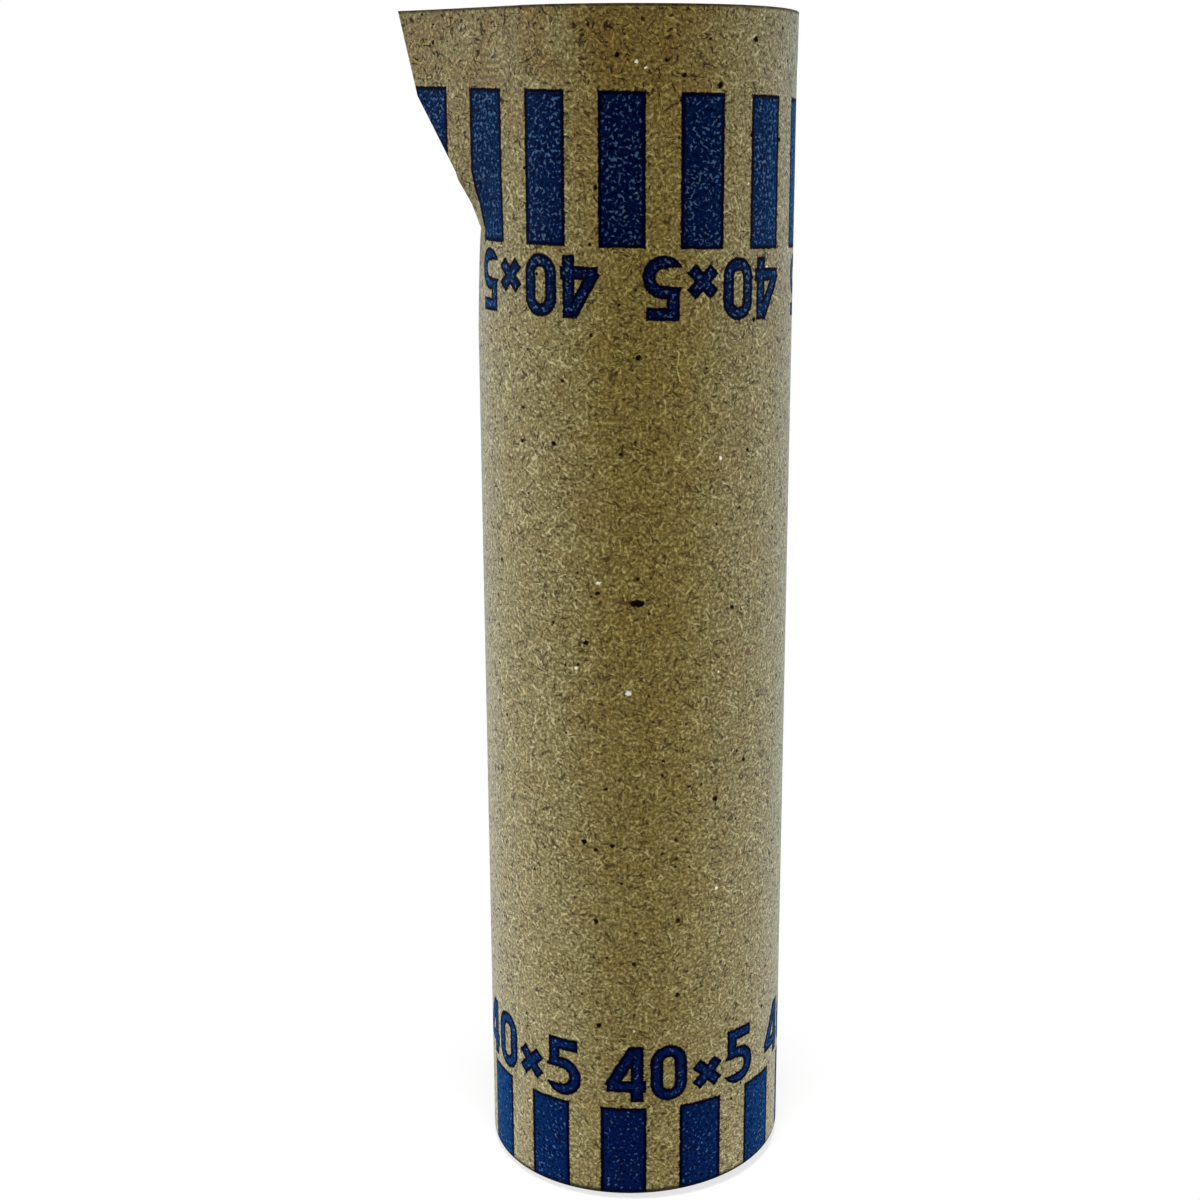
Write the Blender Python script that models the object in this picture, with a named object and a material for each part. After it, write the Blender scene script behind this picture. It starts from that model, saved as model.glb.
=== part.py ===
"""A paper coin roll, in metres, +Z up.

A kraft sheet is wound two turns round a column of coins. Its lower end is crimped in under the first
coin, its upper end stays open above the last one, and at the mouth the unglued corner of the outer
ply stands off the tube as a flap. Angles run round the tube from the front (-Y), positive towards +X.
"""

import math

import bmesh
import bpy

MM = 0.001
SMOOTH_ANGLE = math.radians(35.0)

# Coins: diameter, thickness and count of a five-cent roll
COIN_RADIUS = 10.605 * MM
COIN_THICKNESS = 1.95 * MM
COIN_COUNT = 40
COIN_RIM_WIDTH = 1.0 * MM
COIN_FIELD_DEPTH = 0.14 * MM
COIN_FIELD_SLOPE = 0.16 * MM
COIN_GAP = 0.02 * MM
COIN_SEGMENTS = 24

# Wound paper tube, which stays open above the last coin
TUBE_LENGTH = 86.0 * MM
COIN_CLEARANCE = 0.35 * MM
PLY = 0.18 * MM
TURNS = 2
PLY_GAP = 0.06 * MM
COLUMNS = 48
WALL_ROWS = 3
EDGE_WIDTH = math.radians(0.5)

# Crimped end: standing bend, flat ring, rolled lip round the hole, pleats
BEND_RADIUS = 1.2 * MM
RING_WIDTH = 1.4 * MM
HOLE_RADIUS = 6.0 * MM
LIP_RISE = 0.75 * MM
LIP_ROLL = 0.3 * MM
LIP_MID_SHARE = 0.4
CRIMP_HEIGHT = 1.55 * MM
PLEATS = 24
PLEAT_DEPTH = 0.32 * MM
PLEAT_MID_SHARE = 0.7
SEAT_GAP = 0.3 * MM
BEND_STEPS = 3

# Loose corner of the outer ply at the mouth
HINGE_ANGLE = math.radians(-45.0)
NOTCH_ANGLE = math.radians(-75.0)
SEAM_ANGLE = math.radians(-121.0)
FLAP_HEIGHT = 14.35 * MM
FLAP_SHOULDER = 5.7 * MM
FLAP_WAIST = 10.7 * MM
FLAP_RIM_REACH = 11.65 * MM
FLAP_SHOULDER_REACH = 9.95 * MM
FLAP_WAIST_REACH = 6.2 * MM
NOTCH_DEPTH = 12.0 * MM
FLAP_BACK_CURL = 150.0 * MM
HINGE_GAP = 0.3 * MM
FLAP_COLUMNS = 6

# Sizes that follow
INNER_RADIUS = COIN_RADIUS + COIN_CLEARANCE
OUTER_RADIUS = INNER_RADIUS + PLY * (TURNS + 1)
COIN_SEAT = CRIMP_HEIGHT + SEAT_GAP
COIN_PITCH = COIN_THICKNESS + COIN_GAP
FLAP_FOOT = TUBE_LENGTH - FLAP_HEIGHT
FLAP_OUTLINE = [
    (0.0, FLAP_RIM_REACH),
    (FLAP_SHOULDER, FLAP_SHOULDER_REACH),
    (FLAP_WAIST, FLAP_WAIST_REACH),
    (FLAP_HEIGHT, OUTER_RADIUS * (HINGE_ANGLE - NOTCH_ANGLE)),
]


def clear_scene():
    for old in list(bpy.data.objects):
        bpy.data.objects.remove(old, do_unlink=True)


def finish(name, colour, roughness, metallic):
    """A plain principled material in the piece's own colour."""
    material = bpy.data.materials.new(name)
    material.use_nodes = True
    shader = material.node_tree.nodes["Principled BSDF"]
    shader.inputs["Base Color"].default_value = (*colour, 1.0)
    shader.inputs["Roughness"].default_value = roughness
    shader.inputs["Metallic"].default_value = metallic
    return material


def place(name, mesh, material, location=(0.0, 0.0, 0.0), parent=None):
    """Put a mesh in the scene as the named piece."""
    if not mesh.materials:
        mesh.materials.append(material)
        mesh.shade_smooth()
        mesh.set_sharp_from_angle(angle=SMOOTH_ANGLE)
    piece = bpy.data.objects.new(name, mesh)
    piece.location = location
    piece.parent = parent
    bpy.context.collection.objects.link(piece)
    return piece


def on_tube(radius, angle, height):
    return (radius * math.sin(angle), -radius * math.cos(angle), height)


# Wrapper tube


def turn_share(angle):
    """Share of a turn from the glued seam, going towards the front."""
    return ((angle - SEAM_ANGLE) % math.tau) / math.tau


def wound_radius(angle):
    """Outer face of the winding: it falls by one ply in a turn and steps back up at the seam."""
    return OUTER_RADIUS - PLY * turn_share(angle)


def column_angles():
    """Even columns round the tube, with a close pair at the seam and at the flap's hinge line."""
    pairs = [SEAM_ANGLE - EDGE_WIDTH, SEAM_ANGLE, HINGE_ANGLE - EDGE_WIDTH, HINGE_ANGLE]
    step = math.tau / COLUMNS
    even = [-math.pi + step * k for k in range(COLUMNS)]
    spaced = [a for a in even if all(abs(a - p) > step / 4 for p in pairs)]
    return sorted(spaced + pairs)


def notch_height(angle):
    """Top of the outer ply under the flap: level to the notch, then down to the seam and back behind."""
    if NOTCH_ANGLE <= angle:
        return FLAP_FOOT
    fall = (NOTCH_ANGLE - angle) / (NOTCH_ANGLE - SEAM_ANGLE)
    return FLAP_FOOT - NOTCH_DEPTH * min(fall, 1.0)


def bare_radius(angle):
    """Outer face above the notch, where the flap has taken the outer ply away."""
    if SEAM_ANGLE <= angle < HINGE_ANGLE:
        return wound_radius(angle) - PLY - PLY_GAP
    return wound_radius(angle)


def pleat(angle, share):
    """Rise of the folded paper at a pleat, growing towards the hole."""
    return PLEAT_DEPTH * share * (0.5 - 0.5 * math.cos(PLEATS * angle))


def wrapper_rings(angles):
    """Rings of points from the outer rim down, in under the coins and up the inner face."""
    rings = [
        [on_tube(bare_radius(a), a, TUBE_LENGTH) for a in angles],
        [on_tube(bare_radius(a), a, notch_height(a)) for a in angles],
        [on_tube(wound_radius(a), a, notch_height(a) - PLY_GAP) for a in angles],
    ]
    wall_top = FLAP_FOOT - NOTCH_DEPTH
    heights = [wall_top - (wall_top - BEND_RADIUS) * k / WALL_ROWS for k in range(1, WALL_ROWS)]
    rings += [[on_tube(wound_radius(a), a, z) for a in angles] for z in heights]
    for k in range(BEND_STEPS + 1):
        bend = math.pi / 2 * k / BEND_STEPS
        inset = BEND_RADIUS * (1.0 - math.cos(bend))
        rise = BEND_RADIUS * (1.0 - math.sin(bend))
        rings.append([on_tube(wound_radius(a) - inset, a, rise) for a in angles])
    ring_inner = INNER_RADIUS - BEND_RADIUS - RING_WIDTH
    middle = (ring_inner + HOLE_RADIUS) / 2
    under = [
        (ring_inner, 0.0, 0.0),
        (middle, LIP_RISE * LIP_MID_SHARE, PLEAT_MID_SHARE),
        (HOLE_RADIUS + LIP_ROLL, LIP_RISE, 1.0),
    ]
    over = [
        (HOLE_RADIUS, LIP_RISE + LIP_ROLL, 1.0),
        (HOLE_RADIUS + LIP_ROLL, CRIMP_HEIGHT - PLEAT_DEPTH, 1.0),
        (middle, CRIMP_HEIGHT - PLEAT_DEPTH, PLEAT_MID_SHARE),
        (INNER_RADIUS - COIN_CLEARANCE / 2, CRIMP_HEIGHT, 0.0),
        (INNER_RADIUS, CRIMP_HEIGHT + SEAT_GAP, 0.0),
    ]
    rings += [[on_tube(r, a, z + pleat(a, s)) for a in angles] for r, z, s in under + over]
    rings += [[on_tube(INNER_RADIUS, a, z) for a in angles] for z in reversed(heights)]
    rings.append([on_tube(INNER_RADIUS, a, TUBE_LENGTH) for a in angles])
    return rings


def closed_loft(name, rings):
    """Skin rings into one closed tube wall: the last ring joins the first."""
    bm = bmesh.new()
    loops = [[bm.verts.new(p) for p in ring] for ring in rings]
    for upper, lower in zip(loops, loops[1:] + loops[:1]):
        for k in range(len(upper)):
            bm.faces.new((upper[k - 1], lower[k - 1], lower[k], upper[k]))
    bmesh.ops.recalc_face_normals(bm, faces=bm.faces)
    mesh = bpy.data.meshes.new(name)
    bm.to_mesh(mesh)
    bm.free()
    return mesh


# Loose flap at the mouth


def flap_reach(depth):
    """Length of the flap from its hinge line, at a depth below the rim."""
    for (upper, upper_reach), (lower, lower_reach) in zip(FLAP_OUTLINE, FLAP_OUTLINE[1:]):
        if depth <= lower:
            share = (depth - upper) / (lower - upper)
            return upper_reach + (lower_reach - upper_reach) * share


def flap_point(along, depth):
    """A point of the flap's middle surface, bent slightly outwards, from the hinge line at the tube's base."""
    turn = HINGE_ANGLE + along / FLAP_BACK_CURL
    x = FLAP_BACK_CURL * (math.sin(HINGE_ANGLE) - math.sin(turn))
    y = FLAP_BACK_CURL * (math.cos(turn) - math.cos(HINGE_ANGLE))
    return (x, y, TUBE_LENGTH - depth)


def flap_mesh(name):
    lowest = FLAP_HEIGHT - HINGE_GAP
    depths = [0.0, FLAP_SHOULDER / 2, FLAP_SHOULDER, FLAP_WAIST, lowest]
    bm = bmesh.new()
    rows = []
    for depth in depths:
        span = flap_reach(depth) - HINGE_GAP
        along = [HINGE_GAP + span * k / FLAP_COLUMNS for k in range(FLAP_COLUMNS + 1)]
        rows.append([bm.verts.new(flap_point(s, depth)) for s in along])
    for upper, lower in zip(rows, rows[1:]):
        for k in range(FLAP_COLUMNS):
            bm.faces.new((upper[k], upper[k + 1], lower[k + 1], lower[k]))
    mesh = bpy.data.meshes.new(name)
    bm.to_mesh(mesh)
    bm.free()
    return mesh


def add_flap(material):
    middle = wound_radius(HINGE_ANGLE) - PLY / 2
    flap = place("corner_flap", flap_mesh("corner_flap"), material, on_tube(middle, HINGE_ANGLE, 0.0))
    thickness = flap.modifiers.new("Ply", "SOLIDIFY")
    thickness.thickness = PLY
    thickness.offset = 0.0
    return flap


# Coins


def coin_mesh():
    """A struck blank: a disc whose two faces are sunk inside a raised rim."""
    bm = bmesh.new()
    bmesh.ops.create_cone(
        bm,
        cap_ends=True,
        segments=COIN_SEGMENTS,
        radius1=COIN_RADIUS,
        radius2=COIN_RADIUS,
        depth=COIN_THICKNESS,
    )
    bmesh.ops.translate(bm, verts=bm.verts, vec=(0.0, 0.0, COIN_THICKNESS / 2))
    caps = [f for f in bm.faces if len(f.verts) == COIN_SEGMENTS]
    bmesh.ops.inset_individual(bm, faces=caps, thickness=COIN_RIM_WIDTH)
    bmesh.ops.inset_individual(bm, faces=caps, thickness=COIN_FIELD_SLOPE, depth=-COIN_FIELD_DEPTH)
    mesh = bpy.data.meshes.new("coin")
    bm.to_mesh(mesh)
    bm.free()
    return mesh


def add_coins(material):
    """The column of coins, with the last one free to lift off it."""
    column = bpy.data.objects.new("coin_column", None)
    bpy.context.collection.objects.link(column)
    mesh = coin_mesh()
    for k in range(COIN_COUNT):
        height = COIN_SEAT + k * COIN_PITCH
        place(f"coin_{k + 1:02d}", mesh, material, (0.0, 0.0, height), column)


def main():
    clear_scene()
    kraft = finish("kraft_paper", (0.30, 0.22, 0.12), 0.85, 0.0)
    flap_kraft = finish("flap_paper", (0.33, 0.26, 0.15), 0.85, 0.0)
    cupronickel = finish("cupronickel", (0.56, 0.54, 0.50), 0.32, 1.0)
    wrapper = closed_loft("wrapper_tube", wrapper_rings(column_angles()))
    place("wrapper_tube", wrapper, kraft)
    add_flap(flap_kraft)
    add_coins(cupronickel)


main()
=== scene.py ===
"""The looks of a paper coin roll, built over its CAD frame.

A printed kraft sheet is cut flat, wound two turns and crimped at its base. Its loose corner is a second
piece that bends at the fold, and forty struck coins fill the tube. Shapes are in metres. The print is laid
out on the flat sheet in millimetres: across from the front of the tube, and up from its base.
"""

import math
from contextlib import contextmanager

import bpy
from mathutils import Matrix, Vector


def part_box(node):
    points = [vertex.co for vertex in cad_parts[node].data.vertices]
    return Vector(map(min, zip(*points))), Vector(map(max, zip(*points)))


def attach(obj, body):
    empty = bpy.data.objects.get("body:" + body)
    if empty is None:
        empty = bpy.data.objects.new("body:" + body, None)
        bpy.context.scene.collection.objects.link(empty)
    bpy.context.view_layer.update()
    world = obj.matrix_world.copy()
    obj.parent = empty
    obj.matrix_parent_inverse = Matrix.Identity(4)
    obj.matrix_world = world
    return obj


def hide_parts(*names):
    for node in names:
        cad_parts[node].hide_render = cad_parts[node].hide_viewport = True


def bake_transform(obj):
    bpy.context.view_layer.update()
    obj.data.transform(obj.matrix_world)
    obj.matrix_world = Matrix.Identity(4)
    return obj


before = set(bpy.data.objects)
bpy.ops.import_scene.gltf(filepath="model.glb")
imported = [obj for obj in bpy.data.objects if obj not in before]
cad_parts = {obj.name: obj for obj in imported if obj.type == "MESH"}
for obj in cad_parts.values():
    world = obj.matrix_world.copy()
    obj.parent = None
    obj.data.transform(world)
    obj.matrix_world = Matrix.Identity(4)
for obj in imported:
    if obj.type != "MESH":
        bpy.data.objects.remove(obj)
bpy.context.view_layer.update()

MM = 0.001
HAIR = 0.01 * MM
CUT_TOLERANCE = 0.001 * MM
PAPER_SMOOTH = math.radians(30.0)
COIN_SMOOTH = math.radians(40.0)

# Sizes read from the frame
RIM_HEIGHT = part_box("wrapper_tube")[1].z
COIN_LOW, COIN_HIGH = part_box("coin_01")
COIN_RADIUS = COIN_HIGH.x
COIN_THICKNESS = COIN_HIGH.z - COIN_LOW.z
COIN_NODES = sorted(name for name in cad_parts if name.startswith("coin_"))
TOP_COIN = COIN_NODES[-1]

# Winding of the sheet
PLY = 0.18 * MM
SHEET_THICKNESS = 0.165 * MM
TURNS = 2
COIN_CLEARANCE = 0.35 * MM
OUTER_RADIUS = COIN_RADIUS + COIN_CLEARANCE + PLY * (TURNS + 1)
SHEET_RADIUS = OUTER_RADIUS - PLY / 2
SEAM_ANGLE = math.radians(-121.0)
HINGE_ANGLE = math.radians(-45.0)
COLUMNS_PER_TURN = 160
WALL_ROWS = 40
RIM_FLARE = 0.07 * MM
FLARE_DEPTH = 6.0 * MM
RIM_RISE = 0.3 * MM
RISE_DEPTH = 20.0 * MM

# Crimped base: each run of its section has a length, the angle it turns through and a count of rows
BEND_RADIUS = 0.7 * MM
RING_WIDTH = 1.75 * MM
LIP_RADIUS = 0.8 * MM
LIP_SLOPE = math.radians(20.0)
LIP_WIDTH = 1.85 * MM
UPTURN_RADIUS = 0.6 * MM
UPTURN = math.radians(70.0)
CRIMP_RUNS = (
    (BEND_RADIUS * math.pi / 2, math.pi / 2, 8),
    (RING_WIDTH, 0.0, 4),
    (LIP_RADIUS * LIP_SLOPE, LIP_SLOPE, 2),
    (LIP_WIDTH, 0.0, 6),
    (UPTURN_RADIUS * UPTURN, UPTURN, 5),
)
PLEATS = 24
PLEAT_DEPTH = 0.3 * MM
PLEAT_LENGTH = 4.0 * MM
PLEAT_SHARPNESS = 1.4
PLEAT_UNEVEN = 0.2
PLEAT_UNEVEN_WAVES = 7
BASE_TILT = 0.5 * MM
TILT_HEIGHT = 12.0 * MM

# Drift of the pleats from an even pitch: waves round the base, size and start of each
PLEAT_DRIFT = ((5, 0.9, 0.0), (3, 0.6, 1.0))

# Loose corner, as lengths back from the fold and depths below the rim
FLAP_OUTLINE = (
    (11.65 * MM, 0.0),
    (9.95 * MM, 5.7 * MM),
    (6.2 * MM, 10.7 * MM),
    (6.0 * MM, 14.35 * MM),
)
FLAP_HEIGHT = FLAP_OUTLINE[-1][1]
FLAP_BACK_CURL = 150.0 * MM
FLAP_RISE = 0.03
FLAP_FREE_ABOVE = 10.5 * MM
NOTCH_DEPTH = 12.0 * MM
FOLD_WIDTH = 4.0 * MM

# Dent in the tube below the loose corner
DENT_DEPTH = 0.2 * MM
DENT_ANGLE = math.radians(-86.0)
DENT_HALF_TURN = math.radians(35.0)
DENT_BELOW_RIM = 15.0 * MM
DENT_HALF_HEIGHT = 7.0 * MM

# Struck coin
COIN_SIDES = 96
COIN_RIM_WIDTH = 0.95 * MM
COIN_FIELD_DEPTH = 0.14 * MM
COIN_FIELD_SLOPE = 0.12 * MM
COIN_EDGE_ROUND = 0.20 * MM
COIN_EDGE_STEPS = 3
DULL_EDGE = (0.9, 0.05)
RELIEF = 0.09 * MM
BEADS = 60
BEAD_RADIUS = 0.24 * MM
BEAD_RING = 8.95 * MM
NUMERAL_HEIGHT = 7.4 * MM
NUMERAL_SHARE_OF_TYPE = 0.7
NUMERAL_BOLDER = 0.018
NUMERAL_WALL = 0.7
NUMERAL_BEVEL = 0.3
NUMERAL_STEPS = 4
LEAF_SIDES = 8
LEAF_STEPS = 6
LEAF_LENGTH = 2.1 * MM
LEAF_WIDTH = 0.85 * MM
LEAF_RING = 6.9 * MM
LEAF_LEAN = 0.5
LEAF_APART = 0.45
LEAVES_PER_BRANCH = 8
BRANCH_SPAN = math.radians(128.0)
BRANCH_START = 0.6
PETALS = 12
PETAL_RING = 4.2 * MM
PETAL_STRETCH = 1.9
COIN_TURN = math.radians(137.5)

# Print on the flat sheet, in millimetres
SHEET_MM = SHEET_RADIUS / MM
RIM_MM = RIM_HEIGHT / MM
TURN_MM = SHEET_MM * math.tau
LOWER_STRIPES = 12
UPPER_STRIPES = 13
LOWER_STRIPE_WIDTH = 3.48
UPPER_STRIPE_WIDTH = 3.18
STRIPE_PLACE = SHEET_MM * math.radians(-4.6)
UPPER_BAND = (70.55, 80.6)
UPPER_SLANT = 0.02
LOWER_BAND_TOP = 7.6
NUMERAL_GAP = 0.5
NUMERAL_TALL = 4.6
NUMERAL_PEN = 1.0
UPPER_SIZE = 0.92
ROWS_PER_TURN = 5
LOWER_NUMERALS = SHEET_MM * math.radians(-3.0)
UPPER_NUMERALS = SHEET_MM * math.radians(-20.0)
FIRST_DIGIT = 2.0
DIGIT_PITCH = 3.1


# Handling of meshes


def deselect():
    bpy.ops.object.select_all(action="DESELECT")


def pick(*pieces):
    """Select these pieces only, with the first of them active."""
    deselect()
    for piece in pieces:
        piece.select_set(True)
    bpy.context.view_layer.objects.active = pieces[0]


def add(primitive, **sizes):
    """Add a primitive by itself and return it."""
    deselect()
    primitive(**sizes)
    return bpy.context.active_object


@contextmanager
def editing(piece, kind, test):
    """Edit a piece with those of its faces or edges selected that pass a test."""
    pick(piece)
    bpy.ops.object.mode_set(mode="EDIT")
    bpy.ops.mesh.select_mode(type=kind)
    bpy.ops.mesh.select_all(action="DESELECT")
    bpy.ops.object.mode_set(mode="OBJECT")
    parts = piece.data.polygons if kind == "FACE" else piece.data.edges
    for part in parts:
        part.select = test(part)
    bpy.ops.object.mode_set(mode="EDIT")
    bpy.ops.mesh.select_mode(type=kind)
    yield
    bpy.ops.object.mode_set(mode="OBJECT")


def apply_place(piece):
    """Move a piece's place, turn and scale into its mesh."""
    pick(piece)
    bpy.ops.object.transform_apply(location=True, rotation=True, scale=True)


def join(name, pieces):
    """Join pieces into the first of them."""
    pick(*pieces)
    bpy.ops.object.join()
    pieces[0].name = name
    return pieces[0]


def copy_of(piece, name, place):
    """A copy with its own mesh, with a place worked into it."""
    twin = piece.copy()
    twin.data = piece.data.copy()
    twin.data.transform(place)
    twin.name = name
    bpy.context.collection.objects.link(twin)
    return twin


def smooth(piece, angle):
    """Shade a piece smooth, with its edges sharp where they turn by more than an angle."""
    pick(piece)
    bpy.ops.object.shade_smooth_by_angle(angle=angle)


def ease(value):
    """A smooth step from 0 to 1."""
    value = min(max(value, 0.0), 1.0)
    return value * value * (3.0 - 2.0 * value)


# Paper sheet, cut flat: x runs along the winding from the outer edge, y up from the base

SHEET_LENGTH = math.tau * TURNS * SHEET_RADIUS
FOLD_X = (HINGE_ANGLE - SEAM_ANGLE) * SHEET_RADIUS
FOOT_Y = RIM_HEIGHT - FLAP_HEIGHT


def back_from_fold(reach, depth):
    """A point of the flat sheet, by its length back from the fold and its depth below the rim."""
    return Vector((FOLD_X - reach, RIM_HEIGHT - depth))


FLAP_EDGE = [back_from_fold(reach, depth) for reach, depth in FLAP_OUTLINE]
FLAP_FOOT = FLAP_EDGE[-1]
NOTCH_END = back_from_fold(FOLD_X, FLAP_HEIGHT + NOTCH_DEPTH)
FOLD_FOOT = back_from_fold(0.0, FLAP_HEIGHT)


def side(start, end, point):
    """Positive where a point is to the left of the line from start to end."""
    run = end - start
    return run.x * (point.y - start.y) - run.y * (point.x - start.x)


def blank_sheet():
    """The flat blank, with close rows where the crimp will bend it."""
    wall = RIM_HEIGHT - BEND_RADIUS
    sheet = add(
        bpy.ops.mesh.primitive_grid_add,
        x_subdivisions=COLUMNS_PER_TURN * TURNS,
        y_subdivisions=WALL_ROWS,
        size=1.0,
    )
    sheet.scale = (SHEET_LENGTH, wall, 1.0)
    sheet.location = (SHEET_LENGTH / 2, BEND_RADIUS + wall / 2, 0.0)
    apply_place(sheet)
    verts = sheet.data.vertices

    def lower_edge(edge):
        return all(verts[k].co.y < BEND_RADIUS + HAIR for k in edge.vertices)

    with editing(sheet, "EDGE", lower_edge):
        for length, _, steps in CRIMP_RUNS:
            down = {"value": (0.0, -length / steps, 0.0)}
            for _ in range(steps):
                bpy.ops.mesh.extrude_region_move(TRANSFORM_OT_translate=down)
    return sheet


def cut(sheet, start, end):
    """Cut the upper part of the outer ply, back from the fold, along a line."""
    run = (end - start).normalized()
    across = (run.y, -run.x, 0.0)

    def loose(face):
        return face.center.x < FOLD_X and face.center.y > NOTCH_END.y - MM

    with editing(sheet, "FACE", loose):
        bpy.ops.mesh.bisect(plane_co=(*start, 0.0), plane_no=across, threshold=CUT_TOLERANCE)


def on_flap(face):
    point = face.center.xy
    if point.x > FOLD_X or point.y < FOOT_Y:
        return False
    for start, end in zip(FLAP_EDGE, FLAP_EDGE[1:]):
        if point.y > end.y:
            return side(start, end, point) > 0
    return False


def in_notch(face):
    point = face.center.xy
    if point.x > FOLD_X or on_flap(face):
        return False
    below_foot = point.x < FLAP_FOOT.x and side(NOTCH_END, FLAP_FOOT, point) > 0
    return point.y > FOOT_Y or below_foot


def lay_out_print(sheet):
    """Keep each point's place on the flat sheet, which the print follows."""
    layout = sheet.data.attributes.new("flat", "FLOAT_VECTOR", "POINT")
    front = SEAM_ANGLE * SHEET_RADIUS
    for vertex, place in zip(sheet.data.vertices, layout.data):
        place.vector = ((vertex.co.x + front) / MM, vertex.co.y / MM, 0.0)


def crimp_section(fall):
    """Inward step, height and turn of the outer face, a length down the sheet from where it bends."""
    inward, height, turn = 0.0, BEND_RADIUS, 0.0
    for length, bend, _ in CRIMP_RUNS:
        run = min(fall, length)
        if run <= 0.0:
            break
        if bend:
            radius = length / bend
            after = turn + run / radius
            inward += radius * (math.cos(turn) - math.cos(after))
            height -= radius * (math.sin(after) - math.sin(turn))
            turn = after
        else:
            inward += run * math.sin(turn)
            height -= run * math.cos(turn)
        fall -= run
    return inward, height, turn


def pleat(angle, fall):
    """Rise of the gathered paper in the crimp, uneven from pleat to pleat."""
    share = ease((fall - BEND_RADIUS) / PLEAT_LENGTH)
    phase = PLEATS * angle
    for waves, drift, start in PLEAT_DRIFT:
        phase += drift * math.sin(waves * angle + start)
    crest = abs(math.sin(phase / 2)) ** PLEAT_SHARPNESS
    height = 1.0 - PLEAT_UNEVEN + PLEAT_UNEVEN * math.sin(PLEAT_UNEVEN_WAVES * angle)
    return PLEAT_DEPTH * share * crest * height


def dent(angle, depth):
    """How far the tube is pressed in below the loose corner."""
    across = math.remainder(angle - DENT_ANGLE, math.tau) / DENT_HALF_TURN
    down = (depth - DENT_BELOW_RIM) / DENT_HALF_HEIGHT
    return DENT_DEPTH * ease(1.0 - abs(across)) * ease(1.0 - abs(down))


def wind(place):
    """Where a point of the flat sheet lies on the wound and crimped tube."""
    turned = place.x / SHEET_RADIUS
    angle = SEAM_ANGLE + turned
    depth = RIM_HEIGHT - place.y
    fall = BEND_RADIUS - place.y
    inward, height, turn = crimp_section(fall) if fall > 0.0 else (0.0, place.y, 0.0)
    sunk = PLY * turned / math.tau + pleat(angle, fall)
    flare = RIM_FLARE * ease(1.0 - depth / FLARE_DEPTH)
    radius = OUTER_RADIUS + flare - inward - sunk * math.cos(turn) - dent(angle, depth)
    height += sunk * math.sin(turn)
    height += BASE_TILT * ease(1.0 - height / TILT_HEIGHT) * (1.0 + math.sin(angle)) / 2
    height += RIM_RISE * ease(1.0 - depth / RISE_DEPTH) * math.sin(angle) ** 2
    return Vector((radius * math.sin(angle), -radius * math.cos(angle), height))


def peel(place):
    """Where a point of the loose corner lies: on the tube at its foot, and bent outwards higher up."""
    fold = wind(Vector((FOLD_X, place.y)))
    reach = FOLD_X - place.x
    turn = HINGE_ANGLE + reach / FLAP_BACK_CURL
    along = FLAP_BACK_CURL * (math.sin(HINGE_ANGLE) - math.sin(turn))
    away = FLAP_BACK_CURL * (math.cos(turn) - math.cos(HINGE_ANGLE))
    curled = fold + Vector((along, away, FLAP_RISE * reach))
    depth = RIM_HEIGHT - place.y
    held = ease((depth - FLAP_FREE_ABOVE) / (FLAP_HEIGHT - FLAP_FREE_ABOVE))
    return curled.lerp(wind(place), held)


def shape_paper(name, sheet, placing, finishes):
    """Give flat paper its form and thickness: printed outside, plain inside, raw at the cut edges."""
    for vertex in sheet.data.vertices:
        vertex.co = placing(vertex.co.xy)
    sheet.name = name
    sheet.data.materials.clear()
    for finish in finishes:
        sheet.data.materials.append(finish)
    thickness = sheet.modifiers.new("Thickness", "SOLIDIFY")
    thickness.thickness = SHEET_THICKNESS
    thickness.offset = -1.0
    thickness.material_offset = 1
    thickness.material_offset_rim = 2
    pick(sheet)
    bpy.ops.object.modifier_apply(modifier=thickness.name)
    smooth(sheet, PAPER_SMOOTH)


def add_paper(finishes):
    """The wound sheet and its loose corner."""
    sheet = blank_sheet()
    outline = [*FLAP_EDGE, NOTCH_END]
    cut(sheet, FOLD_FOOT, FLAP_FOOT)
    for start, end in zip(outline, outline[1:]):
        cut(sheet, start, end)
    lay_out_print(sheet)
    with editing(sheet, "FACE", in_notch):
        bpy.ops.mesh.delete(type="FACE")
    with editing(sheet, "FACE", on_flap):
        bpy.ops.mesh.separate(type="SELECTED")
    corner = next(o for o in bpy.context.selected_objects if o != sheet)
    shape_paper("wound_sheet", sheet, wind, finishes)
    shape_paper("loose_corner", corner, peel, finishes)
    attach(sheet, "wrapper")
    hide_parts("wrapper_tube")
    middle_y = RIM_HEIGHT - FLAP_HEIGHT / 2
    fold = wind(Vector((FOLD_X, middle_y)))
    past_fold = peel(Vector((FOLD_X - FOLD_WIDTH, middle_y)))
    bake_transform(corner)
    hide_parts("corner_flap")


# Struck coins


def mark_raised(piece, test):
    """Mark the points that stand up from the field, which wear brighter."""
    raised = piece.data.attributes.new("raised", "FLOAT", "POINT")
    for vertex, mark in zip(piece.data.vertices, raised.data):
        mark.value = 1.0 if test(vertex.co) else 0.0


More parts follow.
